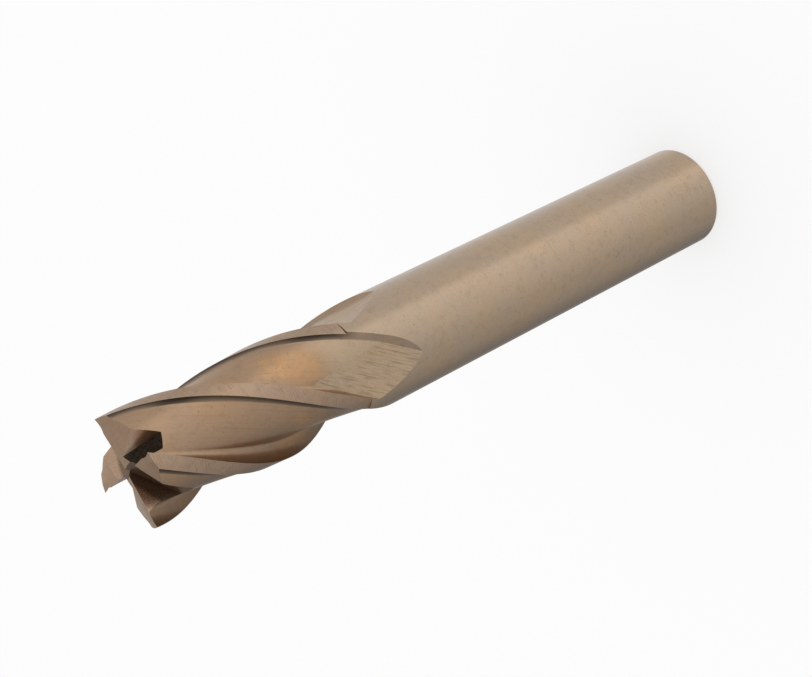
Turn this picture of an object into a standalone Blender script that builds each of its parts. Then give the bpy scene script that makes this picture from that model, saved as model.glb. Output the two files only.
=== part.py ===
"""Four-flute end mill with a plain cylindrical shank, ground from one bar.

The mill stands on the end of its shank: +Z runs up the axis, the origin is
the centre of the shank's end face, and the cutting end is on top.
Lengths are metres and angles are radians unless a name says degrees.
"""

import math

import bpy
import bmesh
import numpy as np

# Bar and overall sizes
OVERALL_LENGTH = 0.083
SHANK_DIAMETER = 0.012
CUTTER_DIAMETER = 0.01197
SHANK_CHAMFER = 0.0003
END_STOCK = 0.0003
SIDE_STOCK = 0.000015

# Teeth and their helix, right hand
TOOTH_COUNT = 4
HELIX_DEGREES = 30.0
CUTTING_LENGTH = 0.0264

# The wheel that grinds a flute, and where it stops
WHEEL_RADIUS = 0.0625
WHEEL_WIDTH = 0.00578
WHEEL_SWIVEL_DEGREES = 32.3
WHEEL_LEAN_DEGREES = 8.8
WHEEL_HEEL_DEGREES = 25.0
CORE_DIAMETER = 0.00794
WHEEL_STOP_ABOVE_LANDS = 0.00512

# Relief ground behind each cutting edge
LAND_DEGREES = 16.5
LAND_DROP = 0.00017
LAND_AHEAD_DEGREES = 2.5
LAND_BEYOND_DEGREES = 7.0

# End teeth
END_DISH_DEGREES = 1.5
END_PRIMARY_WIDTH = 0.0009
END_PRIMARY_DEGREES = 8.0
END_SECONDARY_DEGREES = 16.0

# Gashes in front of the end teeth, which open the end towards the axis
GASH_SLOPE_DEGREES = 41.0
GASH_FLOOR_WIDTH = 0.00145
GASH_FLOOR_TILT_DEGREES = 13.5
GASH_WALL_DEGREES = 50.0
LONG_TOOTH_GASH_HEIGHT = -0.00048
SHORT_TOOTH_GASH_HEIGHT = 0.00092
GASH_PAST_CENTRE = 0.00003
QUARTER_START = 0.00005
QUARTER_OVERLAP = 0.0001

# Fineness of the surfaces
BAR_SEGMENTS = 96
ROW_STEP = 0.0011
SECTION_POINTS = 24
DENSE_POINTS = 260
ARC_POINTS = 8
RELIEF_POINTS = 5
TRAVEL_STEPS = 60
REFINE_STEPS = 9
REFINE_ROUNDS = 3
SCAN_POINTS = 721
HALVINGS = 22
BEND_SHARE = 0.6
SMOOTH_STEPS = 7
WELD_DISTANCE = 0.00003
SHARP_DEGREES = 25.0

STEEL_COLOR = (0.36, 0.29, 0.22, 1.0)

TIP_RADIUS = CUTTER_DIAMETER / 2
SHANK_RADIUS = SHANK_DIAMETER / 2
FRONT_RADIUS = TIP_RADIUS + SIDE_STOCK
BAR_RADIUS = max(FRONT_RADIUS, SHANK_RADIUS)
TOOTH_PITCH = 2 * math.pi / TOOTH_COUNT
LEAD = math.pi * CUTTER_DIAMETER / math.tan(math.radians(HELIX_DEGREES))
TURN = 2 * math.pi / LEAD
CLEAR = 0.001
LOOK_ANGLE = math.radians(25.0)
MOUTH_RADIUS = 1.1 * BAR_RADIUS
END_REACH = 1.4 * BAR_RADIUS
GASH_TALL = 1.5 * BAR_RADIUS
GASH_RUN = (-1.2 * BAR_RADIUS, 2.0 * BAR_RADIUS)


def clear_scene():
    """Start from an empty scene."""
    for item in list(bpy.data.objects):
        bpy.data.objects.remove(item, do_unlink=True)


def steel_material():
    """Cobalt high-speed steel with a warm, satin, straw-brown temper colour."""
    material = bpy.data.materials.new("cobalt_steel")
    material.use_nodes = True
    shader = material.node_tree.nodes["Principled BSDF"]
    shader.inputs["Base Color"].default_value = STEEL_COLOR
    shader.inputs["Metallic"].default_value = 1.0
    shader.inputs["Roughness"].default_value = 0.34
    return material


def mesh_object(name, verts, faces):
    """Closed mesh object with its faces turned outwards and split into triangles."""
    mesh = bpy.data.meshes.new(name)
    mesh.from_pydata([tuple(map(float, v)) for v in verts], [], faces)
    grid = bmesh.new()
    grid.from_mesh(mesh)
    bmesh.ops.recalc_face_normals(grid, faces=grid.faces)
    bmesh.ops.triangulate(grid, faces=grid.faces)
    grid.to_mesh(mesh)
    grid.free()
    item = bpy.data.objects.new(name, mesh)
    bpy.context.scene.collection.objects.link(item)
    return item


def loft(name, rings):
    """Closed solid through rings that all have the same number of points."""
    count = len(rings[0])
    verts = [point for ring in rings for point in ring]
    faces = []
    for row in range(len(rings) - 1):
        low = row * count
        high = low + count
        for i in range(count):
            j = (i + 1) % count
            faces.append((low + i, low + j, high + j, high + i))
    faces.append(tuple(range(count)))
    faces.append(tuple(range(len(verts) - count, len(verts))))
    return mesh_object(name, verts, faces)


def turned_bar():
    """The turned blank: shank with its end chamfer, and the front with stock left
    for grinding. Where their sizes differ, a cone joins them, with its narrow end
    where the cutting length begins."""
    shoulder = OVERALL_LENGTH - CUTTING_LENGTH
    profile = [(SHANK_RADIUS - SHANK_CHAMFER, 0.0), (SHANK_RADIUS, SHANK_CHAMFER)]
    step = FRONT_RADIUS - SHANK_RADIUS
    if abs(step) > WELD_DISTANCE:
        profile.append((SHANK_RADIUS, shoulder + min(step, 0.0)))
        profile.append((FRONT_RADIUS, shoulder + max(step, 0.0)))
    profile.append((FRONT_RADIUS, OVERALL_LENGTH + END_STOCK))
    angles = [2 * math.pi * i / BAR_SEGMENTS for i in range(BAR_SEGMENTS)]
    rings = [[(r * math.cos(a), r * math.sin(a), z) for a in angles] for r, z in profile]
    return loft("end_mill", rings)


def helix_angle(z):
    """Angle by which the section at height z is turned from the section at the tip."""
    return (z - OVERALL_LENGTH) * TURN


def wheel_frame():
    """Centre of the wheel at its last position, and its axis, for a flute facing +X."""
    swivel = math.radians(WHEEL_SWIVEL_DEGREES)
    lean = math.radians(WHEEL_LEAN_DEGREES)
    outward = np.array([1.0, 0.0, 0.0])
    across = np.array([0.0, math.cos(swivel), -math.sin(swivel)])
    axis = math.cos(lean) * across + math.sin(lean) * outward
    down = -(outward - np.dot(outward, axis) * axis)
    down /= np.linalg.norm(down)
    stop = OVERALL_LENGTH - CUTTING_LENGTH + WHEEL_STOP_ABOVE_LANDS
    corner = outward * CORE_DIAMETER / 2 + np.array([0.0, 0.0, stop])
    return corner - WHEEL_RADIUS * down, axis


WHEEL_CENTRE, WHEEL_AXIS = wheel_frame()


def wheel_distance(points, travel):
    """How far points lie outside the wheel (negative inside it) once it has
    travelled up the helix by each value of travel, one row for each point."""
    turn = travel * TURN
    x = points[:, :1] * np.cos(turn) + points[:, 1:2] * np.sin(turn) - WHEEL_CENTRE[0]
    y = points[:, 1:2] * np.cos(turn) - points[:, :1] * np.sin(turn) - WHEEL_CENTRE[1]
    z = points[:, 2:] - travel - WHEEL_CENTRE[2]
    along = x * WHEEL_AXIS[0] + y * WHEEL_AXIS[1] + z * WHEEL_AXIS[2]
    radial = np.sqrt(np.maximum(x * x + y * y + z * z - along * along, 0.0)) - WHEEL_RADIUS
    heel = math.radians(WHEEL_HEEL_DEGREES)
    bevel = radial * math.cos(heel) + (along - WHEEL_WIDTH) * math.sin(heel)
    return np.maximum(np.maximum(radial, -along), bevel)


def ground_distance(points):
    """Distance of points outside everything that the travelling wheel has ground away."""
    span = OVERALL_LENGTH / 2
    travel = np.linspace(0.0, span, TRAVEL_STEPS)[None, :].repeat(len(points), axis=0)
    step = span / (TRAVEL_STEPS - 1)
    for _ in range(REFINE_ROUNDS):
        reach = wheel_distance(points, travel)
        best = np.take_along_axis(travel, reach.argmin(axis=1)[:, None], axis=1)
        offsets = np.linspace(-step, step, REFINE_STEPS)[None, :]
        travel = np.maximum(best + offsets, 0.0)
        step *= 2 / (REFINE_STEPS - 1)
    return wheel_distance(points, travel).min(axis=1)


def edge_phase():
    """Angle of the cutting edge, where the rake face meets the cutting circle,
    on a flute ground by the wheel as wheel_frame places it."""
    z = OVERALL_LENGTH
    base = TURN * (z - WHEEL_CENTRE[2])
    angles = np.linspace(-math.pi / 2, math.pi / 2, SCAN_POINTS)
    inside = ground_distance(circle_points(TIP_RADIUS, angles + base, z)) < 0.0
    first = int(np.argmax(inside))
    outer, inner = angles[first - 1], angles[first]
    for _ in range(HALVINGS):
        middle = (outer + inner) / 2
        if ground_distance(circle_points(TIP_RADIUS, np.array([middle + base]), z))[0] < 0.0:
            inner = middle
        else:
            outer = middle
    return inner + base


def circle_points(radius, angles, z):
    """Points at angles on a circle in the section at z."""
    return np.stack([radius * np.cos(angles), radius * np.sin(angles), np.full_like(angles, z)], axis=1)


def turn_points(points, angle):
    """Points turned about the Z axis."""
    c, s = math.cos(angle), math.sin(angle)
    x = points[:, 0] * c - points[:, 1] * s
    y = points[:, 0] * s + points[:, 1] * c
    return np.stack([x, y, points[:, 2]], axis=1)


EDGE_PHASE = edge_phase()


def flute_distance(points, z):
    """ground_distance for points given in the frame of the cutting edge at z."""
    return ground_distance(turn_points(points, EDGE_PHASE + helix_angle(z)))


def mouth_angles(z):
    """Angles of both sides of the flute's mouth, just outside the bar."""
    angles = np.linspace(-math.pi / 3, math.pi, SCAN_POINTS)
    ground = flute_distance(circle_points(MOUTH_RADIUS, angles, z), z) < 0.0
    hits = np.flatnonzero(ground)
    if len(hits) < 2:
        return None
    closed = np.array([angles[hits[0] - 1], angles[min(hits[-1] + 1, len(angles) - 1)]])
    opened = np.array([angles[hits[0]], angles[hits[-1]]])
    for _ in range(HALVINGS):
        middle = (closed + opened) / 2
        ground = flute_distance(circle_points(MOUTH_RADIUS, middle, z), z) < 0.0
        opened = np.where(ground, middle, opened)
        closed = np.where(ground, closed, middle)
    return opened


def look_points(depth, side, z):
    """Points of the section at z: depth along the direction in which the flute
    opens, side across it."""
    c, s = math.cos(LOOK_ANGLE), math.sin(LOOK_ANGLE)
    return np.stack([depth * c - side * s, depth * s + side * c, np.full_like(side, z)], axis=1)


def flute_floor(z):
    """Dense outline of the flute's floor in the section at z, from rake to heel."""
    mouth = mouth_angles(z)
    if mouth is None:
        return None
    first, last = MOUTH_RADIUS * np.sin(mouth - LOOK_ANGLE)
    side = np.linspace(first, last, DENSE_POINTS)
    open_end = np.sqrt(np.maximum(MOUTH_RADIUS ** 2 - side * side, 0.0))
    solid_end = np.zeros_like(side)
    for _ in range(HALVINGS):
        middle = (open_end + solid_end) / 2
        ground = flute_distance(look_points(middle, side, z), z) < 0.0
        open_end = np.where(ground, middle, open_end)
        solid_end = np.where(ground, solid_end, middle)
    return look_points(open_end, side, z)


def mouth_arc(ring, z):
    """Points outside the bar which close a flute's section from heel back to rake."""
    last = math.atan2(ring[-1][1], ring[-1][0])
    first = math.atan2(ring[0][1], ring[0][0])
    angles = np.linspace(last, first, ARC_POINTS + 2)[1:-1]
    return circle_points(MOUTH_RADIUS, angles, z)


def spread_points(outline, count):
    """Points along an outline, closer together where it bends."""
    steps = np.diff(outline[:, :2], axis=0)
    length = np.hypot(steps[:, 0], steps[:, 1])
    heading = np.unwrap(np.arctan2(steps[:, 1], steps[:, 0]))
    bend = np.abs(np.diff(heading, prepend=heading[0]))
    weight = length / length.sum() + BEND_SHARE * bend / bend.sum()
    padded = np.pad(weight, SMOOTH_STEPS // 2, mode="edge")
    smooth = np.convolve(padded, np.ones(SMOOTH_STEPS) / SMOOTH_STEPS, mode="valid")
    along = np.concatenate([[0.0], np.cumsum(smooth)])
    wanted = np.linspace(0.0, along[-1], count)
    columns = [np.interp(wanted, along, outline[:, k]) for k in range(3)]
    return np.stack(columns, axis=1)


def flute_rings():
    """Sections of one flute from above the tip down to where it has left the bar."""
    rings = []
    z = OVERALL_LENGTH + 2 * END_STOCK
    while z > 0.0:
        floor = flute_floor(z)
        if floor is None:
            break
        ring = spread_points(floor, SECTION_POINTS)
        ring = np.concatenate([ring, mouth_arc(ring, z)])
        rings.append(turn_points(ring, helix_angle(z)))
        if np.hypot(floor[:, 0], floor[:, 1]).min() > (BAR_RADIUS + MOUTH_RADIUS) / 2:
            break
        z -= ROW_STEP
    return rings[::-1]


def land_radius(behind):
    """Radius of the land at an angle behind the cutting edge."""
    return TIP_RADIUS - LAND_DROP * behind / math.radians(LAND_DEGREES)


def land_rings():
    """Sections of what the relief grinding takes off behind one cutting edge."""
    start = math.radians(-LAND_AHEAD_DEGREES)
    end = math.radians(LAND_DEGREES + LAND_BEYOND_DEGREES)
    behind = np.linspace(start, end, RELIEF_POINTS)
    inner = land_radius(behind)
    outer = np.full_like(behind, BAR_RADIUS + CLEAR)
    angles = -np.concatenate([behind, behind[::-1]])
    radii = np.concatenate([inner, outer])
    low = OVERALL_LENGTH - CUTTING_LENGTH
    high = OVERALL_LENGTH + 2 * END_STOCK
    rings = []
    for z in np.linspace(low, high, 1 + math.ceil((high - low) / ROW_STEP)):
        turned = angles + helix_angle(z)
        rings.append([(r * math.cos(a), r * math.sin(a), z) for r, a in zip(radii, turned)])
    return rings


def tooth_point(tooth, along, ahead, height):
    """World point from a tooth's own frame: outwards along its end edge, ahead of
    the edge in the cutting direction, and height above the tip."""
    angle = tooth * TOOTH_PITCH
    c, s = math.cos(angle), math.sin(angle)
    return along * c - ahead * s, along * s + ahead * c, OVERALL_LENGTH + height


def end_face_height(along, behind):
    """Height of a tooth's end face: dished towards the axis, relieved in two steps."""
    dish = (TIP_RADIUS - along) * math.tan(math.radians(END_DISH_DEGREES))
    primary = min(behind, END_PRIMARY_WIDTH) * math.tan(math.radians(END_PRIMARY_DEGREES))
    beyond = max(behind - END_PRIMARY_WIDTH, 0.0)
    secondary = beyond * math.tan(math.radians(END_SECONDARY_DEGREES))
    return -dish - primary - secondary


def end_face_cutter(tooth):
    """What is ground off above the end face of one tooth, over its own quarter."""
    rings = []
    for along in (QUARTER_START, END_REACH):
        ring = [(behind, end_face_height(along, max(behind, 0.0)))
                for behind in (-QUARTER_OVERLAP, 0.0, END_PRIMARY_WIDTH, END_REACH)]
        ring += [(END_REACH, CLEAR), (-QUARTER_OVERLAP, CLEAR)]
        rings.append([tooth_point(tooth, along, -behind, height) for behind, height in ring])
    return loft("end_face_cutter_%d" % tooth, rings)


def gash_cutter(tooth):
    """The gash in front of one end tooth: a straight rake wall, a narrow floor and a
    far wall that leans away. Long and short teeth alternate."""
    slope = math.radians(GASH_SLOPE_DEGREES)
    tilt = math.radians(GASH_FLOOR_TILT_DEGREES)
    wall = math.radians(GASH_WALL_DEGREES)
    height = LONG_TOOTH_GASH_HEIGHT if tooth % 2 == 0 else SHORT_TOOTH_GASH_HEIGHT
    corner = (GASH_FLOOR_WIDTH, -GASH_FLOOR_WIDTH * math.tan(tilt))
    far = (corner[0] + GASH_TALL * math.tan(wall), corner[1] + GASH_TALL)
    profile = [(-GASH_PAST_CENTRE, 0.0), corner, far, (-GASH_PAST_CENTRE, far[1])]
    rings = []
    for run in GASH_RUN:
        ring = []
        for ahead, up in profile:
            along = run * math.cos(slope) + up * math.sin(slope)
            rise = height - run * math.sin(slope) + up * math.cos(slope)
            ring.append(tooth_point(tooth, along, ahead, rise))
        rings.append(ring)
    return loft("gash_cutter_%d" % tooth, rings)


def tooth_copy(name, rings, tooth):
    """Cutter lofted from the first tooth's rings, turned to another tooth."""
    angle = tooth * TOOTH_PITCH
    turned = [turn_points(np.asarray(ring, dtype=float), angle) for ring in rings]
    return loft("%s_%d" % (name, tooth), turned)


def cut(item, cutter):
    """Take the cutter away from the item."""
    cutter.hide_render = True
    cutter.display_type = "WIRE"
    modifier = item.modifiers.new(cutter.name, "BOOLEAN")
    modifier.operation = "DIFFERENCE"
    modifier.solver = "EXACT"
    modifier.object = cutter


def weld_slivers(mesh):
    """Join the corners that lie closer together than any real detail."""
    grid = bmesh.new()
    grid.from_mesh(mesh)
    bmesh.ops.triangulate(grid, faces=grid.faces)
    bmesh.ops.remove_doubles(grid, verts=grid.verts, dist=WELD_DISTANCE)
    bmesh.ops.dissolve_degenerate(grid, edges=grid.edges, dist=WELD_DISTANCE / 4)
    bmesh.ops.triangulate(grid, faces=grid.faces)
    grid.to_mesh(mesh)
    grid.free()


def keep_result(item, cutters):
    """Replace the item's mesh by the cut one and drop the cutters."""
    graph = bpy.context.evaluated_depsgraph_get()
    graph.update()
    mesh = bpy.data.meshes.new_from_object(item.evaluated_get(graph))
    item.modifiers.clear()
    weld_slivers(mesh)
    item.data = mesh
    for cutter in cutters:
        bpy.data.objects.remove(cutter, do_unlink=True)


def grind(item):
    """Grind flutes, lands, end faces and gashes into the bar."""
    flute = flute_rings()
    land = land_rings()
    cutters = []
    for tooth in range(TOOTH_COUNT):
        cutters.append(tooth_copy("flute_cutter", flute, tooth))
    for tooth in range(TOOTH_COUNT):
        cutters.append(tooth_copy("land_cutter", land, tooth))
    for tooth in range(TOOTH_COUNT):
        cutters.append(end_face_cutter(tooth))
    for tooth in range(TOOTH_COUNT):
        cutters.append(gash_cutter(tooth))
    for cutter in cutters:
        cut(item, cutter)
    keep_result(item, cutters)


def main():
    clear_scene()
    mill = turned_bar()
    grind(mill)
    mill.data.materials.clear()
    mill.data.materials.append(steel_material())
    mill.data.shade_smooth()
    mill.data.set_sharp_from_angle(angle=math.radians(SHARP_DEGREES))


main()
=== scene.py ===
import math

import bmesh
import bpy
import numpy as np
from mathutils import Matrix, Vector


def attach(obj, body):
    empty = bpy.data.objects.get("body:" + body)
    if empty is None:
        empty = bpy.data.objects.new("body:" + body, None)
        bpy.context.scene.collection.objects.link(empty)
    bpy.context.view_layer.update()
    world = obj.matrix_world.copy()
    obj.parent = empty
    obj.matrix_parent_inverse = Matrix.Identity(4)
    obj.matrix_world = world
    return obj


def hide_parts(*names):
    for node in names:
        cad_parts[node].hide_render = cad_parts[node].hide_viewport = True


# Looks of a four-flute end mill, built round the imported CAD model.
# One finer mesh of the same ground form replaces the CAD node, with its own
# material for each way the real surface was ground.

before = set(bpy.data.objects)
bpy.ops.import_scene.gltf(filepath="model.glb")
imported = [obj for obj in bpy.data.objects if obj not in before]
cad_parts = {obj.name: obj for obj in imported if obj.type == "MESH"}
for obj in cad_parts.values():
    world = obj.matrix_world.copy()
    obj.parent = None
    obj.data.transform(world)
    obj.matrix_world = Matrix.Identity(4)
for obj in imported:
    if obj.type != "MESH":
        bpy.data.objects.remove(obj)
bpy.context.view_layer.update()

# Bar and overall sizes, the same as in the CAD source
OVERALL_LENGTH = 0.083
SHANK_DIAMETER = 0.012
CUTTER_DIAMETER = 0.01197
SHANK_CHAMFER = 0.0003
END_STOCK = 0.0003
SIDE_STOCK = 0.000015

# Teeth and their helix, right hand
TOOTH_COUNT = 4
HELIX_DEGREES = 30.0
CUTTING_LENGTH = 0.0264

# The wheel that grinds a flute, and where it stops
WHEEL_RADIUS = 0.0625
WHEEL_WIDTH = 0.00578
WHEEL_SWIVEL_DEGREES = 32.3
WHEEL_LEAN_DEGREES = 8.8
WHEEL_HEEL_DEGREES = 25.0
CORE_DIAMETER = 0.00794
WHEEL_STOP_ABOVE_LANDS = 0.00512

# Relief ground behind each cutting edge
LAND_DEGREES = 16.5
LAND_DROP = 0.00017
LAND_AHEAD_DEGREES = 2.5
LAND_BEYOND_DEGREES = 7.0

# End teeth
END_DISH_DEGREES = 1.5
END_PRIMARY_WIDTH = 0.0009
END_PRIMARY_DEGREES = 8.0
END_SECONDARY_DEGREES = 16.0

# Gashes in front of the end teeth
GASH_SLOPE_DEGREES = 41.0
GASH_FLOOR_WIDTH = 0.00145
GASH_FLOOR_TILT_DEGREES = 13.5
GASH_WALL_DEGREES = 50.0
LONG_TOOTH_GASH_HEIGHT = -0.00048
SHORT_TOOTH_GASH_HEIGHT = 0.00092
GASH_PAST_CENTRE = 0.00003
QUARTER_START = 0.00005
QUARTER_OVERLAP = 0.0001

# Fineness of the surfaces
BAR_SEGMENTS = 360
ROW_STEP = 0.0003
SECTION_POINTS = 72
DENSE_POINTS = 400
ARC_POINTS = 10
RELIEF_POINTS = 12
TRAVEL_STEPS = 60
REFINE_STEPS = 9
REFINE_ROUNDS = 4
SCAN_POINTS = 721
HALVINGS = 24
BEND_SHARE = 0.6
SMOOTH_STEPS = 7
CHUNK_POINTS = 4000
NORMAL_STEP = 0.00002
NORMAL_INSET = 0.15
WELD_DISTANCE = 0.000004
SHARP_DEGREES = 14.0

# Camera: the photograph's place, aim, roll and lens
CAMERA_PLACE = (-0.022019, -0.153618, 0.159115)
CAMERA_AIM = (-0.000514, 0.000072, 0.046475)
CAMERA_ROLL_DEGREES = -116.712
CAMERA_LENS = 79.41
CAMERA_SENSOR = 36.0
CAMERA_CLIP = (0.005, 20.0)

TIP_RADIUS = CUTTER_DIAMETER / 2
SHANK_RADIUS = SHANK_DIAMETER / 2
FRONT_RADIUS = TIP_RADIUS + SIDE_STOCK
BAR_RADIUS = max(FRONT_RADIUS, SHANK_RADIUS)
TOOTH_PITCH = 2 * math.pi / TOOTH_COUNT
LEAD = math.pi * CUTTER_DIAMETER / math.tan(math.radians(HELIX_DEGREES))
TURN = 2 * math.pi / LEAD
LANDS_BEGIN = OVERALL_LENGTH - CUTTING_LENGTH
CLEAR = 0.001
LOOK_ANGLE = math.radians(25.0)
MOUTH_RADIUS = 1.1 * BAR_RADIUS
END_REACH = 1.4 * BAR_RADIUS
GASH_TALL = 1.5 * BAR_RADIUS
GASH_RUN = (-1.2 * BAR_RADIUS, 2.0 * BAR_RADIUS)

# What the metal mirrors: level round the horizon, by azimuth in degrees
STUDIO_RING = [(0, 0.98), (60, 0.95), (80, 0.62), (100, 0.36), (122, 0.28), (142, 0.42), (162, 0.57),
               (182, 0.70), (202, 0.77), (222, 0.88), (242, 1.02), (262, 1.13), (282, 1.26),
               (302, 1.38), (309, 1.34), (317, 1.04), (340, 1.00), (360, 0.94)]
RING_GAIN = 0.5
UPPER_FROM_DEGREES = 18.0
UPPER_FULL_DEGREES = 48.0
STUDIO_UPPER = 0.66
LOWER_FROM_DEGREES = -48.0
LOWER_FULL_DEGREES = -78.0
LOWER_SHARE = 0.55
# Dark patches: azimuth, elevation, inner and outer radius in degrees, and level. The
# first lies in the direction from which the photograph was taken.
DARK_PATCHES = [(262.0, 27.0, 15.0, 25.0, 0.02), (337.0, 57.0, 14.0, 30.0, 0.02)]
PAPER_LIGHT = 1.0

# The floor, and how much of its shadow the camera sees
FLOOR_HALF_SIZE = 3.0
FLOOR_DROP = 0.00005
FLOOR_COLOR = (0.95, 0.95, 0.95, 1.0)
FLOOR_ROUGHNESS = 0.9
SHADOW_SHARE = 0.35

# Grinding lines: how often they change along X, Y and Z, per metre
RING_LINES = (60.0, 60.0, 9000.0)
HELIX_LINES = (5200.0, 5200.0, 130.0)
RIM_LINES = (5200.0, 1.0, 130.0)
STOP_LINES = (5600.0, 1.0, 420.0)
CROSS_LINES = (260.0, 260.0, 6000.0)
FLAT_LINES = (5200.0, 400.0, 2400.0)
GRAIN_DETAIL = 5.0
GRAIN_ROUGHNESS = 0.62

# Marks all over the metal: scale per metre, detail and roughness of the noise, the
# values between which a mark comes up, and how dark it gets
MOTTLE = (1100.0, 4.0, 0.70, 0.45, 0.75, 0.12)
SPECKS = (2600.0, 1.0, 0.55, 0.68, 0.76, 0.18)
FINE_GRAIN = (9000.0, 2.0, 0.80, 0.35, 0.70, 0.09)

# Marks of one zone, described in the same way
PITS = (3300.0, 1.0, 0.55, 0.71, 0.80, 0.22)
STOP_DASHES = (1.0, 1.0, 0.50, 0.48, 0.70, 0.28)

# Warmer clouds in the colour: scale per metre, and what they do to red, green and blue
CLOUD_SCALE = 170.0
CLOUD_WARMTH = (1.05, 1.01, 0.93)

# Hatch left by a chattering wheel, and the radii over which it comes up in a flute
HATCH_PITCH = 0.00027
HATCH_WAVER = 2.5
HATCH_WAVER_SCALE = 700.0
HATCH_PATCH_SCALE = 1500.0
HATCH_DEPTH = 0.16
HATCH_RADII = (0.0050, 0.0058)

# Heel walls: painted shade, darker above the place where the lands begin, and towards the land
HEEL_SHADE_FADE = 0.0015
HEEL_SHADE_RADII = (0.0052, 0.0058)
HEEL_FLOOR_SHADE_SHARE = 0.05
HEEL_SHADE_DARKNESS = 0.80

# Gashes: painted shade, darker below a cone this steep, which crosses the axis this far above the tip
GASH_RIM_SLOPE = 0.59
GASH_RIM_HEIGHTS = (0.0004, 0.0009)
GASH_SHADE_DARKNESS = 0.56

# Painted golden reflection on the flute's floor: heights above the lands' beginning, and
# radii, over which it comes and goes, and the heights over which the run-out's own colour goes
GOLDEN_REFLECTION_COMES = (0.0028, 0.0055)
GOLDEN_REFLECTION_GOES = (0.0080, 0.0115)
GOLDEN_REFLECTION_INNER_RADII = (0.0039, 0.0043)
GOLDEN_REFLECTION_OUTER_RADII = (0.0047, 0.0053)
GOLDEN_REFLECTION_BREAK_SCALE = 900.0
GOLDEN_REFLECTION_LEAST = 0.45
RUNOUT_TINT_GOES = (0.0012, 0.0055)

# Colours of the ground steel
SHANK_TONE = (0.401, 0.305, 0.223)
FLUTE_TONE = (0.356, 0.239, 0.156)
RUNOUT_TONE = (0.435, 0.322, 0.220)
LAND_TONE = (0.370, 0.262, 0.188)
END_TONE = (0.420, 0.283, 0.195)
GASH_TONE = (0.470, 0.330, 0.245)
HEEL_TONE = (0.340, 0.245, 0.178)
# Painted golden reflection, warmer and brighter than the flute
GOLDEN_REFLECTION_TONE = (0.465, 0.275, 0.138)

# Travel below which the wheel counts as stopped
STOPPED_TRAVEL = 0.00006

# Ways the surface was ground, in the order of the mesh's material slots
SHANK, FLUTE, LAND, END, GASH, HEEL, RUNOUT = range(7)


# Geometry

def mesh_object(name, verts, faces, zone):
    """Closed mesh object with outward faces, all in one ground zone."""
    mesh = bpy.data.meshes.new(name)
    mesh.from_pydata([tuple(map(float, v)) for v in verts], [], faces)
    grid = bmesh.new()
    grid.from_mesh(mesh)
    bmesh.ops.recalc_face_normals(grid, faces=grid.faces)
    bmesh.ops.triangulate(grid, faces=grid.faces)
    for face in grid.faces:
        face.material_index = zone
    grid.to_mesh(mesh)
    grid.free()
    for material in ZONE_MATERIALS:
        mesh.materials.append(material)
    item = bpy.data.objects.new(name, mesh)
    bpy.context.scene.collection.objects.link(item)
    return item


def loft(name, rings, zone):
    """Closed solid through rings that all have the same number of points."""
    count = len(rings[0])
    verts = [point for ring in rings for point in ring]
    faces = []
    for row in range(len(rings) - 1):
        low = row * count
        high = low + count
        for i in range(count):
            j = (i + 1) % count
            faces.append((low + i, low + j, high + j, high + i))
    faces.append(tuple(range(count)))
    faces.append(tuple(range(len(verts) - count, len(verts))))
    return mesh_object(name, verts, faces, zone)


def turned_bar():
    """The turned blank: shank with its end chamfer, and stock left at the tip."""
    top = OVERALL_LENGTH + END_STOCK
    profile = [(SHANK_RADIUS - SHANK_CHAMFER, 0.0), (SHANK_RADIUS, SHANK_CHAMFER), (BAR_RADIUS, top)]
    angles = [2 * math.pi * i / BAR_SEGMENTS for i in range(BAR_SEGMENTS)]
    rings = [[(r * math.cos(a), r * math.sin(a), z) for a in angles] for r, z in profile]
    return loft("end_mill_ground", rings, SHANK)


def helix_angle(z):
    """Angle by which the section at height z is turned from the section at the tip."""
    return (z - OVERALL_LENGTH) * TURN


def turn_points(points, angle):
    """Points turned about the Z axis."""
    c, s = math.cos(angle), math.sin(angle)
    x = points[:, 0] * c - points[:, 1] * s
    y = points[:, 0] * s + points[:, 1] * c
    return np.stack([x, y, points[:, 2]], axis=1)


def wheel_frame():
    """Centre of the wheel at its last position, and its axis, for a flute facing +X."""
    swivel = math.radians(WHEEL_SWIVEL_DEGREES)
    lean = math.radians(WHEEL_LEAN_DEGREES)
    outward = np.array([1.0, 0.0, 0.0])
    across = np.array([0.0, math.cos(swivel), -math.sin(swivel)])
    axis = math.cos(lean) * across + math.sin(lean) * outward
    down = -(outward - np.dot(outward, axis) * axis)
    down /= np.linalg.norm(down)
    stop = LANDS_BEGIN + WHEEL_STOP_ABOVE_LANDS
    corner = outward * CORE_DIAMETER / 2 + np.array([0.0, 0.0, stop])
    return corner - WHEEL_RADIUS * down, axis


WHEEL_CENTRE, WHEEL_AXIS = wheel_frame()


def wheel_reaches(points, travel):
    """How far points lie outside the wheel's rim, its front face and its heel bevel
    (negative inside), once it has travelled up the helix by each value of travel."""
    turn = travel * TURN
    x = points[:, :1] * np.cos(turn) + points[:, 1:2] * np.sin(turn) - WHEEL_CENTRE[0]
    y = points[:, 1:2] * np.cos(turn) - points[:, :1] * np.sin(turn) - WHEEL_CENTRE[1]
    z = points[:, 2:] - travel - WHEEL_CENTRE[2]
    along = x * WHEEL_AXIS[0] + y * WHEEL_AXIS[1] + z * WHEEL_AXIS[2]
    radial = np.sqrt(np.maximum(x * x + y * y + z * z - along * along, 0.0)) - WHEEL_RADIUS
    heel = math.radians(WHEEL_HEEL_DEGREES)
    bevel = radial * math.cos(heel) + (along - WHEEL_WIDTH) * math.sin(heel)
    return radial, -along, bevel


def wheel_distance(points, travel):
    """How far points lie outside the whole wheel."""
    radial, front, bevel = wheel_reaches(points, travel)
    return np.maximum(np.maximum(radial, front), bevel)


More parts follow.
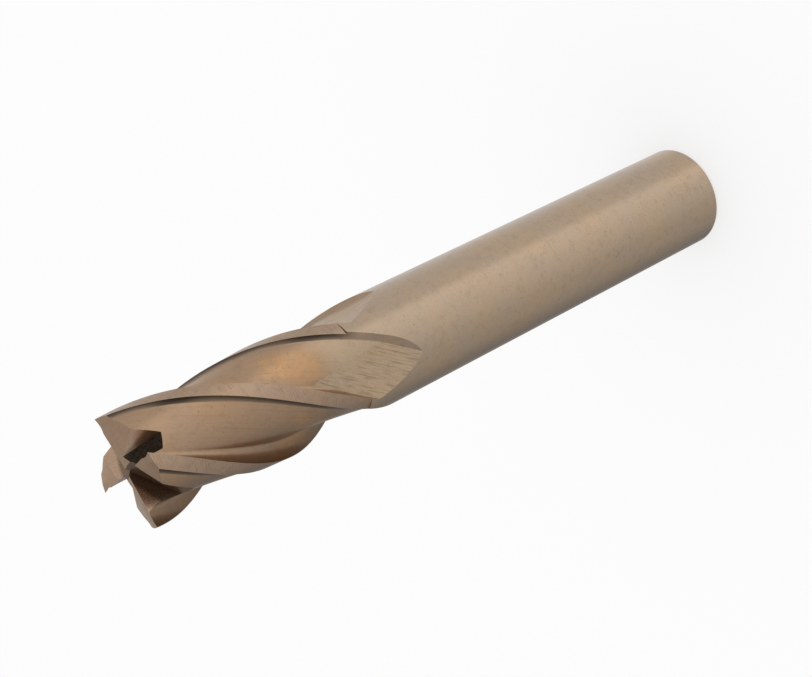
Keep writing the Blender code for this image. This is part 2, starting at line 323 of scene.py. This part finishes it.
def deepest_travel(points):
    """How far the wheel had travelled when it came deepest at each point."""
    span = OVERALL_LENGTH / 2
    travel = np.linspace(0.0, span, TRAVEL_STEPS)[None, :].repeat(len(points), axis=0)
    step = span / (TRAVEL_STEPS - 1)
    for _ in range(REFINE_ROUNDS):
        best = pick_least(travel, wheel_distance(points, travel))
        offsets = np.linspace(-step, step, REFINE_STEPS)[None, :]
        travel = np.maximum(best + offsets, 0.0)
        step *= 2 / (REFINE_STEPS - 1)
    return pick_least(travel, wheel_distance(points, travel))


def pick_least(travel, reach):
    """The travel at which each row's reach is least."""
    return np.take_along_axis(travel, reach.argmin(axis=1)[:, None], axis=1)


def ground_distance(points):
    """Distance of points outside everything that the travelling wheel has ground away."""
    chunks = np.array_split(points, 1 + len(points) // CHUNK_POINTS)
    reach = [wheel_distance(chunk, deepest_travel(chunk))[:, 0] for chunk in chunks]
    return np.concatenate(reach)


def edge_phase():
    """Angle of the cutting edge on a flute ground by the wheel as placed above."""
    z = OVERALL_LENGTH
    base = TURN * (z - WHEEL_CENTRE[2])
    angles = np.linspace(-math.pi / 2, math.pi / 2, SCAN_POINTS)
    inside = ground_distance(circle_points(TIP_RADIUS, angles + base, z)) < 0.0
    first = int(np.argmax(inside))
    outer, inner = angles[first - 1], angles[first]
    for _ in range(HALVINGS):
        middle = (outer + inner) / 2
        if ground_distance(circle_points(TIP_RADIUS, np.array([middle + base]), z))[0] < 0.0:
            inner = middle
        else:
            outer = middle
    return inner + base


def circle_points(radius, angles, z):
    """Points at angles on a circle in the section at z."""
    return np.stack([radius * np.cos(angles), radius * np.sin(angles), np.full_like(angles, z)], axis=1)


EDGE_PHASE = edge_phase()


def flute_distance(points, z):
    """ground_distance for points given in the frame of the cutting edge at z."""
    return ground_distance(turn_points(points, EDGE_PHASE + helix_angle(z)))


def mouth_angles(z):
    """Angles of both sides of the flute's mouth, just outside the bar."""
    angles = np.linspace(-math.pi / 3, math.pi, SCAN_POINTS)
    ground = flute_distance(circle_points(MOUTH_RADIUS, angles, z), z) < 0.0
    hits = np.flatnonzero(ground)
    if len(hits) < 2:
        return None
    closed = np.array([angles[hits[0] - 1], angles[min(hits[-1] + 1, len(angles) - 1)]])
    opened = np.array([angles[hits[0]], angles[hits[-1]]])
    for _ in range(HALVINGS):
        middle = (closed + opened) / 2
        ground = flute_distance(circle_points(MOUTH_RADIUS, middle, z), z) < 0.0
        opened = np.where(ground, middle, opened)
        closed = np.where(ground, closed, middle)
    return opened


def look_points(depth, side, z):
    """Points of the section at z: depth along the direction in which the flute
    opens, side across it."""
    c, s = math.cos(LOOK_ANGLE), math.sin(LOOK_ANGLE)
    return np.stack([depth * c - side * s, depth * s + side * c, np.full_like(side, z)], axis=1)


def flute_floor(z):
    """Dense outline of the flute's floor in the section at z, from rake to heel."""
    mouth = mouth_angles(z)
    if mouth is None:
        return None
    first, last = MOUTH_RADIUS * np.sin(mouth - LOOK_ANGLE)
    side = np.linspace(first, last, DENSE_POINTS)
    open_end = np.sqrt(np.maximum(MOUTH_RADIUS ** 2 - side * side, 0.0))
    solid_end = np.zeros_like(side)
    for _ in range(HALVINGS):
        middle = (open_end + solid_end) / 2
        ground = flute_distance(look_points(middle, side, z), z) < 0.0
        open_end = np.where(ground, middle, open_end)
        solid_end = np.where(ground, solid_end, middle)
    return look_points(open_end, side, z)


def mouth_arc(ring, z):
    """Points outside the bar which close a flute's section from heel back to rake."""
    last = math.atan2(ring[-1][1], ring[-1][0])
    first = math.atan2(ring[0][1], ring[0][0])
    angles = np.linspace(last, first, ARC_POINTS + 2)[1:-1]
    return circle_points(MOUTH_RADIUS, angles, z)


def spread_points(outline, count):
    """Points along an outline, closer together where it bends."""
    steps = np.diff(outline[:, :2], axis=0)
    length = np.hypot(steps[:, 0], steps[:, 1])
    heading = np.unwrap(np.arctan2(steps[:, 1], steps[:, 0]))
    bend = np.abs(np.diff(heading, prepend=heading[0]))
    weight = length / length.sum() + BEND_SHARE * bend / bend.sum()
    padded = np.pad(weight, SMOOTH_STEPS // 2, mode="edge")
    smooth = np.convolve(padded, np.ones(SMOOTH_STEPS) / SMOOTH_STEPS, mode="valid")
    along = np.concatenate([[0.0], np.cumsum(smooth)])
    wanted = np.linspace(0.0, along[-1], count)
    columns = [np.interp(wanted, along, outline[:, k]) for k in range(3)]
    return np.stack(columns, axis=1)


def flute_rings():
    """Sections of one flute from above the tip down to where it has left the bar."""
    rings = []
    z = OVERALL_LENGTH + 2 * END_STOCK
    while z > 0.0:
        floor = flute_floor(z)
        if floor is None:
            break
        ring = spread_points(floor, SECTION_POINTS)
        ring = np.concatenate([ring, mouth_arc(ring, z)])
        rings.append(turn_points(ring, helix_angle(z)))
        if np.hypot(floor[:, 0], floor[:, 1]).min() > (BAR_RADIUS + MOUTH_RADIUS) / 2:
            break
        z -= ROW_STEP
    return rings[::-1]


def land_rings():
    """Sections of what the relief grinding takes off behind one cutting edge."""
    start = math.radians(-LAND_AHEAD_DEGREES)
    end = math.radians(LAND_DEGREES + LAND_BEYOND_DEGREES)
    behind = np.linspace(start, end, RELIEF_POINTS)
    inner = TIP_RADIUS - LAND_DROP * behind / math.radians(LAND_DEGREES)
    outer = np.full_like(behind, BAR_RADIUS + CLEAR)
    angles = -np.concatenate([behind, behind[::-1]])
    radii = np.concatenate([inner, outer])
    low = LANDS_BEGIN
    high = OVERALL_LENGTH + 2 * END_STOCK
    rings = []
    for z in np.linspace(low, high, 1 + math.ceil((high - low) / ROW_STEP)):
        turned = angles + helix_angle(z)
        rings.append([(r * math.cos(a), r * math.sin(a), z) for r, a in zip(radii, turned)])
    return rings


def tooth_point(tooth, along, ahead, height):
    """World point from a tooth's own frame: outwards along its end edge, ahead of
    the edge in the cutting direction, and height above the tip."""
    angle = tooth * TOOTH_PITCH
    c, s = math.cos(angle), math.sin(angle)
    return along * c - ahead * s, along * s + ahead * c, OVERALL_LENGTH + height


def end_face_height(along, behind):
    """Height of a tooth's end face: dished towards the axis, relieved in two steps."""
    dish = (TIP_RADIUS - along) * math.tan(math.radians(END_DISH_DEGREES))
    primary = min(behind, END_PRIMARY_WIDTH) * math.tan(math.radians(END_PRIMARY_DEGREES))
    beyond = max(behind - END_PRIMARY_WIDTH, 0.0)
    secondary = beyond * math.tan(math.radians(END_SECONDARY_DEGREES))
    return -dish - primary - secondary


def end_face_cutter(tooth):
    """What is ground off above the end face of one tooth, over its own quarter."""
    rings = []
    for along in (QUARTER_START, END_REACH):
        ring = [(behind, end_face_height(along, max(behind, 0.0)))
                for behind in (-QUARTER_OVERLAP, 0.0, END_PRIMARY_WIDTH, END_REACH)]
        ring += [(END_REACH, CLEAR), (-QUARTER_OVERLAP, CLEAR)]
        rings.append([tooth_point(tooth, along, -behind, height) for behind, height in ring])
    return loft("end_face_cutter_%d" % tooth, rings, END)


def gash_cutter(tooth):
    """The gash in front of one end tooth: a straight rake wall, a narrow floor and a
    far wall that leans away. Long and short teeth alternate."""
    slope = math.radians(GASH_SLOPE_DEGREES)
    tilt = math.radians(GASH_FLOOR_TILT_DEGREES)
    wall = math.radians(GASH_WALL_DEGREES)
    height = LONG_TOOTH_GASH_HEIGHT if tooth % 2 == 0 else SHORT_TOOTH_GASH_HEIGHT
    corner = (GASH_FLOOR_WIDTH, -GASH_FLOOR_WIDTH * math.tan(tilt))
    far = (corner[0] + GASH_TALL * math.tan(wall), corner[1] + GASH_TALL)
    profile = [(-GASH_PAST_CENTRE, 0.0), corner, far, (-GASH_PAST_CENTRE, far[1])]
    rings = []
    for run in GASH_RUN:
        ring = []
        for ahead, up in profile:
            along = run * math.cos(slope) + up * math.sin(slope)
            rise = height - run * math.sin(slope) + up * math.cos(slope)
            ring.append(tooth_point(tooth, along, ahead, rise))
        rings.append(ring)
    return loft("gash_cutter_%d" % tooth, rings, GASH)


def tooth_copy(name, rings, tooth, zone):
    """Cutter lofted from the first tooth's rings, turned to another tooth."""
    angle = tooth * TOOTH_PITCH
    turned = [turn_points(np.asarray(ring, dtype=float), angle) for ring in rings]
    return loft("%s_%d" % (name, tooth), turned, zone)


def grind(item):
    """Grind flutes, lands, end faces and gashes into the bar."""
    flute = flute_rings()
    land = land_rings()
    teeth = range(TOOTH_COUNT)
    cutters = [tooth_copy("flute_cutter", flute, tooth, FLUTE) for tooth in teeth]
    cutters += [tooth_copy("land_cutter", land, tooth, LAND) for tooth in teeth]
    cutters += [end_face_cutter(tooth) for tooth in teeth]
    cutters += [gash_cutter(tooth) for tooth in teeth]
    for cutter in cutters:
        modifier = item.modifiers.new(cutter.name, "BOOLEAN")
        modifier.operation = "DIFFERENCE"
        modifier.solver = "EXACT"
        modifier.object = cutter
    graph = bpy.context.evaluated_depsgraph_get()
    graph.update()
    mesh = bpy.data.meshes.new_from_object(item.evaluated_get(graph))
    item.modifiers.clear()
    item.data = mesh
    for cutter in cutters:
        bpy.data.objects.remove(cutter, do_unlink=True)


def weld_slivers(mesh):
    """Join the corners that the cuts leave almost on each other."""
    grid = bmesh.new()
    grid.from_mesh(mesh)
    bmesh.ops.triangulate(grid, faces=grid.faces)
    bmesh.ops.remove_doubles(grid, verts=grid.verts, dist=WELD_DISTANCE)
    bmesh.ops.dissolve_degenerate(grid, edges=grid.edges, dist=WELD_DISTANCE / 4)
    bmesh.ops.triangulate(grid, faces=grid.faces)
    grid.to_mesh(mesh)
    grid.free()


def read_floats(collection, name, width):
    """One array of a mesh collection's values, a row for each item."""
    values = np.empty(len(collection) * width)
    collection.foreach_get(name, values)
    return values.reshape(-1, width)


def in_flute(points, angles):
    """World points in the frame in which ground_distance works, each turned back by
    its own tooth's angle."""
    c, s = np.cos(EDGE_PHASE - angles), np.sin(EDGE_PHASE - angles)
    x = points[:, 0] * c - points[:, 1] * s
    y = points[:, 0] * s + points[:, 1] * c
    return np.stack([x, y, points[:, 2]], axis=1)


def out_of_flute(vectors, angles):
    """Vectors turned from ground_distance's frame to the world."""
    c, s = np.cos(angles - EDGE_PHASE), np.sin(angles - EDGE_PHASE)
    x = vectors[:, 0] * c - vectors[:, 1] * s
    y = vectors[:, 0] * s + vectors[:, 1] * c
    return np.stack([x, y, vectors[:, 2]], axis=1)


def nearest_flute(centres):
    """Angle of the flute that each point of a ground surface lies in."""
    angles = np.arange(TOOTH_COUNT) * TOOTH_PITCH
    gaps = [np.abs(ground_distance(in_flute(centres, np.full(len(centres), a)))) for a in angles]
    return angles[np.stack(gaps, axis=1).argmin(axis=1)]


def name_flute_parts(mesh, faces, centres, angles):
    """Give the heel wall and the print of the stopped wheel zones of their own."""
    points = in_flute(centres, angles)
    travel = deepest_travel(points)
    radial, front, bevel = (reach[:, 0] for reach in wheel_reaches(points, travel))
    zones = np.full(len(faces), FLUTE)
    zones[travel[:, 0] < STOPPED_TRAVEL] = RUNOUT
    zones[bevel > np.maximum(radial, front)] = HEEL
    for face, zone in zip(faces, zones):
        mesh.polygons[face].material_index = int(zone)


def surface_normals(points):
    """Outward normals of a flute's surface, from the slope of ground_distance."""
    slopes = []
    for step in np.eye(3) * NORMAL_STEP:
        slopes.append(ground_distance(points - step) - ground_distance(points + step))
    normals = np.stack(slopes, axis=1)
    return normals / np.linalg.norm(normals, axis=1, keepdims=True)


def shade_flutes(mesh):
    """Exact normals on the flutes, so that no facet of the cuts shows."""
    places = read_floats(mesh.vertices, "co", 3)
    centres = read_floats(mesh.polygons, "center", 3)
    zones = read_floats(mesh.polygons, "material_index", 1)[:, 0]
    faces = np.flatnonzero(zones == FLUTE)
    angles = nearest_flute(centres[faces])
    name_flute_parts(mesh, faces, centres[faces], angles)
    corners = read_floats(mesh.loops, "vertex_index", 1)[:, 0].astype(int)
    loops = (faces[:, None] * 3 + np.arange(3)[None, :]).ravel()
    inset = places[corners[loops]] * (1 - NORMAL_INSET) + centres[faces].repeat(3, axis=0) * NORMAL_INSET
    turns = angles.repeat(3)
    normals = np.zeros((len(mesh.loops), 3))
    normals[loops] = out_of_flute(surface_normals(in_flute(inset, turns)), turns)
    mesh.normals_split_custom_set(normals.tolist())


def finish_mesh(mesh):
    """Weld, shade smooth between sharp edges, and set the flutes' normals."""
    weld_slivers(mesh)
    mesh.shade_smooth()
    mesh.set_sharp_from_angle(angle=math.radians(SHARP_DEGREES))
    shade_flutes(mesh)


# Materials

class Nodes:
    """Short calls for building a node tree."""

    def __init__(self, tree):
        self.tree = tree

    def add(self, kind, **settings):
        node = self.tree.nodes.new(kind)
        for key, value in settings.items():
            setattr(node, key, value)
        return node

    def feed(self, value, socket):
        """Link an output to a socket, or set a plain value on it."""
        if isinstance(value, bpy.types.NodeSocket):
            self.tree.links.new(value, socket)
        else:
            socket.default_value = value

    def math(self, operation, first, second=0.0):
        node = self.add("ShaderNodeMath", operation=operation)
        self.feed(first, node.inputs[0])
        self.feed(second, node.inputs[1])
        return node.outputs[0]

    def noise(self, vector, scale, detail=3.0, roughness=0.55):
        node = self.add("ShaderNodeTexNoise")
        node.inputs["Scale"].default_value = scale
        node.inputs["Detail"].default_value = detail
        node.inputs["Roughness"].default_value = roughness
        self.feed(vector, node.inputs["Vector"])
        return node.outputs["Fac"]

    def ramp(self, value, low, high, start=0.0, end=1.0, kind="SMOOTHSTEP"):
        """Value carried from low..high to start..end, and held beyond them."""
        node = self.add("ShaderNodeMapRange", interpolation_type=kind)
        for index, item in enumerate((value, low, high, start, end)):
            self.feed(item, node.inputs[index])
        return node.outputs["Result"]

    def mix_color(self, factor, first, second):
        node = self.add("ShaderNodeMix", data_type="RGBA")
        self.feed(factor, node.inputs["Factor"])
        for key, value in (("A", first), ("B", second)):
            socket = next(s for s in node.inputs if s.name == key and s.type == "RGBA")
            self.feed((*value, 1.0) if isinstance(value, tuple) else value, socket)
        return next(s for s in node.outputs if s.type == "RGBA")

    def mix_level(self, factor, first, second):
        node = self.add("ShaderNodeMix", data_type="FLOAT")
        self.feed(factor, node.inputs["Factor"])
        self.feed(first, node.inputs["A"])
        self.feed(second, node.inputs["B"])
        return node.outputs["Result"]

    def dim(self, level, mask, amount):
        """Level made darker by an amount where the mask is 1."""
        kept = self.math("SUBTRACT", 1.0, self.math("MULTIPLY", mask, amount))
        return self.math("MULTIPLY", level, kept)

    def mark(self, level, vector, scale, detail, roughness, low, high, amount):
        """Level made darker by an amount in the spots where a noise is high."""
        spots = self.noise(vector, scale, detail, roughness)
        return self.dim(level, self.ramp(spots, low, high), amount)

    def scaled(self, vector, scale):
        node = self.add("ShaderNodeMapping")
        node.inputs["Scale"].default_value = scale
        self.feed(vector, node.inputs["Vector"])
        return node.outputs["Vector"]

    def place(self):
        """Object space position in metres."""
        return self.add("ShaderNodeTexCoord").outputs["Object"]

    def split(self, vector):
        node = self.add("ShaderNodeSeparateXYZ")
        self.feed(vector, node.inputs[0])
        return node.outputs["X"], node.outputs["Y"], node.outputs["Z"]

    def combine(self, x, y, z):
        node = self.add("ShaderNodeCombineXYZ")
        for index, item in enumerate((x, y, z)):
            self.feed(item, node.inputs[index])
        return node.outputs["Vector"]

    def dot(self, vector, direction):
        node = self.add("ShaderNodeVectorMath", operation="DOT_PRODUCT")
        self.feed(vector, node.inputs[0])
        node.inputs[1].default_value = tuple(map(float, direction))
        return node.outputs["Value"]

    def radius(self, place):
        """Distance from the mill's axis."""
        x, y, _ = self.split(place)
        squares = self.math("ADD", self.math("MULTIPLY", x, x), self.math("MULTIPLY", y, y))
        return self.math("SQRT", squares)

    def untwisted(self, place):
        """Position with the helix taken out, so that a flute runs straight along Z."""
        height = self.math("SUBTRACT", self.split(place)[2], OVERALL_LENGTH)
        turned = self.add("ShaderNodeVectorRotate", rotation_type="Z_AXIS")
        self.feed(place, turned.inputs["Vector"])
        self.feed(self.math("MULTIPLY", height, -TURN), turned.inputs["Angle"])
        return turned.outputs["Vector"]

    def bump(self, height, distance):
        node = self.add("ShaderNodeBump")
        node.inputs["Distance"].default_value = distance
        self.feed(height, node.inputs["Height"])
        return node.outputs["Normal"]


def ring_lines(nodes, place):
    """Fine rings round the bar, left by centreless grinding."""
    return nodes.scaled(place, RING_LINES)


def helix_lines(nodes, place):
    """Lines along the flute, left by the wheel's rim."""
    return nodes.scaled(nodes.untwisted(place), HELIX_LINES)


def stopped_wheel_place(nodes, place):
    """Position by the stopped wheel: X along its axis, Z along its rim. The four
    run-outs are folded onto the one for which the wheel's place is worked out."""
    x, y, z = nodes.split(place)
    turn = nodes.math("DIVIDE", nodes.math("ARCTAN2", y, x), TOOTH_PITCH)
    shifted = nodes.math("ADD", turn, EDGE_PHASE / TOOTH_PITCH + TOOTH_COUNT + 0.5)
    folded = nodes.math("SUBTRACT", nodes.math("FRACT", shifted), 0.5)
    angle = nodes.math("MULTIPLY", folded, TOOTH_PITCH)
    radius = nodes.radius(place)
    folded_x = nodes.math("MULTIPLY", radius, nodes.math("COSINE", angle))
    folded_y = nodes.math("MULTIPLY", radius, nodes.math("SINE", angle))
    folded_place = nodes.combine(folded_x, folded_y, z)
    rim = np.cross(WHEEL_AXIS, (1.0, 0.0, 0.0))
    rim /= np.linalg.norm(rim)
    return nodes.combine(nodes.dot(folded_place, WHEEL_AXIS), 0.0, nodes.dot(folded_place, rim))


def rim_lines(nodes, place):
    """Lines along the rim of the stopped wheel."""
    return nodes.scaled(stopped_wheel_place(nodes, place), RIM_LINES)


def cross_lines(nodes, place):
    """Short lines across the land, left by the cup wheel."""
    return nodes.scaled(nodes.untwisted(place), CROSS_LINES)


def flat_lines(nodes, place):
    """Straight lines over the end faces and gashes."""
    return nodes.scaled(place, FLAT_LINES)


def plain_marks(nodes, place, level):
    """No marks of its own."""
    return level


def hatch_marks(nodes, place, level):
    """Evenly spaced oblique ticks, left as the wheel chatters."""
    _, _, along = nodes.split(nodes.untwisted(place))
    waver = nodes.noise(place, HATCH_WAVER_SCALE, detail=2.0)
    phase = nodes.math("ADD", nodes.math("MULTIPLY", along, 2 * math.pi / HATCH_PITCH),
                       nodes.math("MULTIPLY", waver, HATCH_WAVER))
    wave = nodes.math("SINE", phase)
    patchy = nodes.ramp(nodes.noise(place, HATCH_PATCH_SCALE, detail=1.0), 0.40, 0.60)
    ticks = nodes.math("MULTIPLY", nodes.ramp(wave, 0.1, 0.9), patchy)
    return nodes.dim(level, ticks, HATCH_DEPTH)


def flute_marks(nodes, place, level):
    """Hatch near the cutting edge, and pits scattered over the flute."""
    near_edge = nodes.ramp(nodes.radius(place), *HATCH_RADII)
    hatched = hatch_marks(nodes, place, level)
    return nodes.mark(nodes.mix_level(near_edge, level, hatched), place, *PITS)


def stop_marks(nodes, place, level):
    """Fine dark lines where the wheel came to its stop."""
    run = nodes.scaled(stopped_wheel_place(nodes, place), STOP_LINES)
    return nodes.mark(level, run, *STOP_DASHES)


def heel_painted_shade(nodes, place, level):
    """Painted shade on the heel wall: darker where the wheel ran on than where it stopped,
    and darkest under the land."""
    _, _, height = nodes.split(place)
    ran_on = nodes.ramp(height, LANDS_BEGIN - HEEL_SHADE_FADE, LANDS_BEGIN + HEEL_SHADE_FADE)
    shade_under_land = nodes.ramp(nodes.radius(place), *HEEL_SHADE_RADII, HEEL_FLOOR_SHADE_SHARE, 1.0)
    return nodes.dim(level, nodes.math("MULTIPLY", ran_on, shade_under_land), HEEL_SHADE_DARKNESS)


def gash_painted_shade(nodes, place, level):
    """Painted shade in the gashes: darker deep down than along their rim."""
    _, _, height = nodes.split(place)
    rim = nodes.math("ADD", height, nodes.math("MULTIPLY", nodes.radius(place), GASH_RIM_SLOPE))
    low, high = (OVERALL_LENGTH + step for step in GASH_RIM_HEIGHTS)
    return nodes.dim(level, nodes.ramp(rim, low, high, 1.0, 0.0), GASH_SHADE_DARKNESS)


def plain_tint(nodes, place, tint):
    """No colour of its own."""
    return tint


def golden_reflection_patch(nodes, place, tint):
    """Painted golden reflection on the flute's floor where the cutting part begins, and the
    run-out's colour next to the run-out."""
    _, _, height = nodes.split(place)
    above = nodes.math("SUBTRACT", height, LANDS_BEGIN)
    radius = nodes.radius(place)
    along = nodes.math("MULTIPLY", nodes.ramp(above, *GOLDEN_REFLECTION_COMES),
                       nodes.ramp(above, *GOLDEN_REFLECTION_GOES, 1.0, 0.0))
    across = nodes.math("MULTIPLY", nodes.ramp(radius, *GOLDEN_REFLECTION_INNER_RADII),
                        nodes.ramp(radius, *GOLDEN_REFLECTION_OUTER_RADII, 1.0, 0.0))
    spots = nodes.noise(place, GOLDEN_REFLECTION_BREAK_SCALE, detail=4.0, roughness=0.65)
    broken = nodes.ramp(spots, 0.35, 0.60, GOLDEN_REFLECTION_LEAST, 1.0)
    share = nodes.math("MULTIPLY", nodes.math("MULTIPLY", along, across), broken)
    near_stop = nodes.ramp(above, *RUNOUT_TINT_GOES, 1.0, 0.0)
    return nodes.mix_color(share, nodes.mix_color(near_stop, tint, RUNOUT_TONE), GOLDEN_REFLECTION_TONE)


def steel(name, lines, marks, color, roughness, bump_depth, streaks, coloring=plain_tint):
    """Ground cobalt steel. lines builds the vector in which grinding lines run along Z,
    marks darkens what is peculiar to the zone, which on the heel walls and in the gashes is
    painted shade, streaks is how dark the lines get, and coloring changes the tint over part
    of the zone, such as the painted golden reflection on the flutes."""
    material = bpy.data.materials.new(name)
    material.use_nodes = True
    shader = material.node_tree.nodes["Principled BSDF"]
    nodes = Nodes(material.node_tree)
    place = nodes.place()
    grain = nodes.noise(lines(nodes, place), 1.0, GRAIN_DETAIL, GRAIN_ROUGHNESS)
    cloud = nodes.noise(place, CLOUD_SCALE)
    warm = tuple(part * warmth for part, warmth in zip(color, CLOUD_WARMTH))
    tint = nodes.mix_color(nodes.ramp(cloud, 0.38, 0.66), color, warm)
    tint = coloring(nodes, place, tint)
    level = nodes.dim(1.0, nodes.ramp(grain, 0.50, 0.80), streaks)
    for spots in (MOTTLE, SPECKS, FINE_GRAIN):
        level = nodes.mark(level, place, *spots)
    level = marks(nodes, place, level)
    scale = nodes.add("ShaderNodeVectorMath", operation="SCALE")
    nodes.feed(tint, scale.inputs["Vector"])
    nodes.feed(level, scale.inputs["Scale"])
    nodes.feed(scale.outputs["Vector"], shader.inputs["Base Color"])
    rough = nodes.ramp(grain, 0.3, 0.7, roughness - 0.03, roughness + 0.05)
    nodes.feed(rough, shader.inputs["Roughness"])
    nodes.feed(nodes.bump(grain, bump_depth), shader.inputs["Normal"])
    shader.inputs["Metallic"].default_value = 1.0
    return material


ZONE_MATERIALS = [
    steel("shank_ground", ring_lines, plain_marks, SHANK_TONE, 0.24, 0.0000003, 0.03),
    # The flute's coloring paints a golden reflection on its floor
    steel("flute_ground", helix_lines, flute_marks, FLUTE_TONE, 0.30, 0.0000015, 0.16, golden_reflection_patch),
    steel("land_ground", cross_lines, hatch_marks, LAND_TONE, 0.32, 0.0000015, 0.16),
    steel("end_ground", flat_lines, plain_marks, END_TONE, 0.30, 0.000001, 0.10),
    # The gashes' colour carries painted shade deep down
    steel("gash_ground", flat_lines, gash_painted_shade, GASH_TONE, 0.28, 0.000001, 0.10),
    # The heel wall's colour carries painted shade under the land
    steel("heel_ground", helix_lines, heel_painted_shade, HEEL_TONE, 0.30, 0.0000015, 0.20),
    steel("runout_ground", rim_lines, stop_marks, RUNOUT_TONE, 0.32, 0.0000015, 0.14),
]


# Stage

def add_floor():
    """Plain pale floor under the shank's end. Seen by the camera it is mostly plain
    white, so that its shadow stays faint."""
    size = FLOOR_HALF_SIZE
    mesh = bpy.data.meshes.new("floor")
    corners = [(-size, -size, 0.0), (size, -size, 0.0), (size, size, 0.0), (-size, size, 0.0)]
    mesh.from_pydata(corners, [], [(0, 1, 2, 3)])
    floor = bpy.data.objects.new("floor", mesh)
    floor.location.z = -FLOOR_DROP
    bpy.context.scene.collection.objects.link(floor)
    mesh.materials.append(floor_paper())
    floor.visible_glossy = False


def floor_paper():
    """Matt paper, which shows the camera mostly plain white."""
    material = bpy.data.materials.new("floor_paper")
    material.use_nodes = True
    nodes = Nodes(material.node_tree)
    paper = material.node_tree.nodes["Principled BSDF"]
    output = material.node_tree.nodes["Material Output"]
    paper.inputs["Base Color"].default_value = FLOOR_COLOR
    paper.inputs["Roughness"].default_value = FLOOR_ROUGHNESS
    white = nodes.add("ShaderNodeEmission")
    blend = nodes.add("ShaderNodeMixShader")
    seen = nodes.add("ShaderNodeLightPath").outputs["Is Camera Ray"]
    nodes.feed(nodes.math("MULTIPLY", seen, 1.0 - SHADOW_SHARE), blend.inputs["Fac"])
    nodes.feed(paper.outputs["BSDF"], blend.inputs[1])
    nodes.feed(white.outputs["Emission"], blend.inputs[2])
    nodes.feed(blend.outputs["Shader"], output.inputs["Surface"])
    return material


def sine(degrees):
    return math.sin(math.radians(degrees))


def cosine(degrees):
    return math.cos(math.radians(degrees))


def direction_of(azimuth, elevation):
    """Unit vector from an azimuth and an elevation in degrees."""
    return cosine(azimuth) * cosine(elevation), sine(azimuth) * cosine(elevation), sine(elevation)


def studio_ring(nodes, x, y):
    """Level of the studio by azimuth: a bright side and a dim one."""
    azimuth = nodes.math("DIVIDE", nodes.math("ARCTAN2", y, x), 2 * math.pi)
    turn = nodes.math("FRACT", nodes.math("ADD", azimuth, 1.0))
    ring = nodes.add("ShaderNodeValToRGB")
    stops = ring.color_ramp.elements
    while len(stops) < len(STUDIO_RING):
        stops.new(0.5)
    for stop, (degrees, level) in zip(stops, STUDIO_RING):
        stop.position = degrees / 360
        stop.color = (level * RING_GAIN, level * RING_GAIN, level * RING_GAIN, 1.0)
    nodes.feed(turn, ring.inputs["Fac"])
    return nodes.math("DIVIDE", ring.outputs["Color"], RING_GAIN)


def dark_patch(nodes, direction, azimuth, elevation, inner, outer, level):
    """1 all round, falling to a level at one dark patch of the studio."""
    toward = nodes.dot(direction, direction_of(azimuth, elevation))
    return nodes.ramp(toward, cosine(outer), cosine(inner), 1.0, level)


def add_world():
    """Pale studio round the object. What the metal mirrors fades from a bright side to a
    dim one, is calmer above and dimmer below, and has dark patches."""
    world = bpy.data.worlds.new("studio")
    bpy.context.scene.world = world
    world.use_nodes = True
    nodes = Nodes(world.node_tree)
    direction = nodes.add("ShaderNodeTexCoord").outputs["Generated"]
    x, y, z = nodes.split(direction)
    upper = nodes.ramp(z, sine(UPPER_FROM_DEGREES), sine(UPPER_FULL_DEGREES))
    level = nodes.mix_level(upper, studio_ring(nodes, x, y), STUDIO_UPPER)
    lower = nodes.ramp(z, sine(LOWER_FULL_DEGREES), sine(LOWER_FROM_DEGREES), LOWER_SHARE, 1.0)
    level = nodes.math("MULTIPLY", level, lower)
    for patch in DARK_PATCHES:
        level = nodes.math("MULTIPLY", level, dark_patch(nodes, direction, *patch))
    mirrored = nodes.add("ShaderNodeLightPath").outputs["Is Glossy Ray"]
    background = world.node_tree.nodes["Background"]
    nodes.feed(nodes.mix_level(mirrored, PAPER_LIGHT, level), background.inputs["Strength"])
    background.inputs["Color"].default_value = (1.0, 1.0, 1.0, 1.0)


def add_camera():
    """Camera at the photograph's place, aim, roll and lens."""
    data = bpy.data.cameras.new("camera")
    data.sensor_width = CAMERA_SENSOR
    data.lens = CAMERA_LENS
    data.clip_start, data.clip_end = CAMERA_CLIP
    camera = bpy.data.objects.new("camera", data)
    look = (Vector(CAMERA_AIM) - Vector(CAMERA_PLACE)).to_track_quat("-Z", "Y").to_matrix()
    roll = Matrix.Rotation(math.radians(CAMERA_ROLL_DEGREES), 3, "Z")
    camera.matrix_world = Matrix.Translation(CAMERA_PLACE) @ (look @ roll).to_4x4()
    bpy.context.scene.collection.objects.link(camera)
    bpy.context.scene.camera = camera


def main():
    mill = turned_bar()
    grind(mill)
    finish_mesh(mill.data)
    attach(mill, "root")
    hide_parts("end_mill")
    add_floor()
    add_world()
    add_camera()
    bpy.context.scene.view_settings.view_transform = "Standard"


main()
